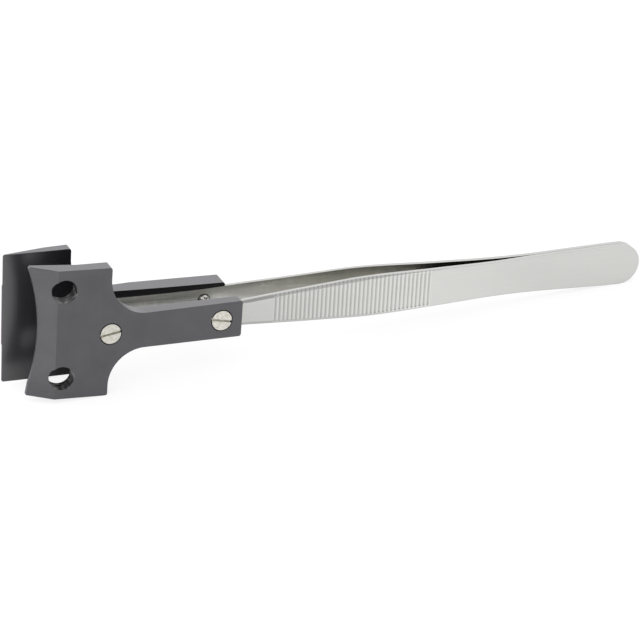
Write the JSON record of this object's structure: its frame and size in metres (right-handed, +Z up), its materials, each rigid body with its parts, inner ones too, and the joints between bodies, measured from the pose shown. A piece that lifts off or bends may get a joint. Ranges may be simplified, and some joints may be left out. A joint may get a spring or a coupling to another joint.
{
  "type": "wafer tweezers",
  "caption": "Spring steel wafer tweezers with serrated finger grips and two broad T-shaped moulded jaws, one with a concave lip, screwed to the blades.",
  "frame": {"origin": "centre of the footprint on the surface that the tweezers lie on, midway between the blades", "axes": "+X towards the welded handle end, +Y from the near jaw to the far jaw, +Z up"},
  "size_m": [0.1307, 0.0144, 0.0267],
  "materials": {
    "blade_steel": "satin, ground lengthwise",
    "jaw_plastic": "matt, carbon filled",
    "screw_steel": "bright turned"
  },
  "bodies": {
    "heel": {"near_heel": "blade_steel", "far_heel": "blade_steel"},
    "near_arm": {"near_blade": "blade_steel", "near_jaw": "jaw_plastic", "near_stem_screw": "screw_steel", "near_head_screw": "screw_steel"},
    "far_arm": {"far_blade": "blade_steel", "far_jaw": "jaw_plastic", "far_stem_screw": "screw_steel", "far_head_screw": "screw_steel"}
  },
  "joints": [
    {"name": "near_flexure", "type": "hinge", "parent": "heel", "child": "near_arm", "pos_m": [0.03345, -0.0005, 0.00633], "axis": [0.0734, 0, 0.9973], "range_deg": [-1.86, 0], "stiffness_Nm_per_rad": 3.4},
    {"name": "far_flexure", "type": "hinge", "parent": "heel", "child": "far_arm", "pos_m": [0.03345, 0.0005, 0.00633], "axis": [0.0734, 0, 0.9973], "range_deg": [0, 1.86], "stiffness_Nm_per_rad": 3.4}
  ],
  "couplings": [
    {"joint": "far_flexure", "follows": "near_flexure", "ratio": -1}
  ]
}
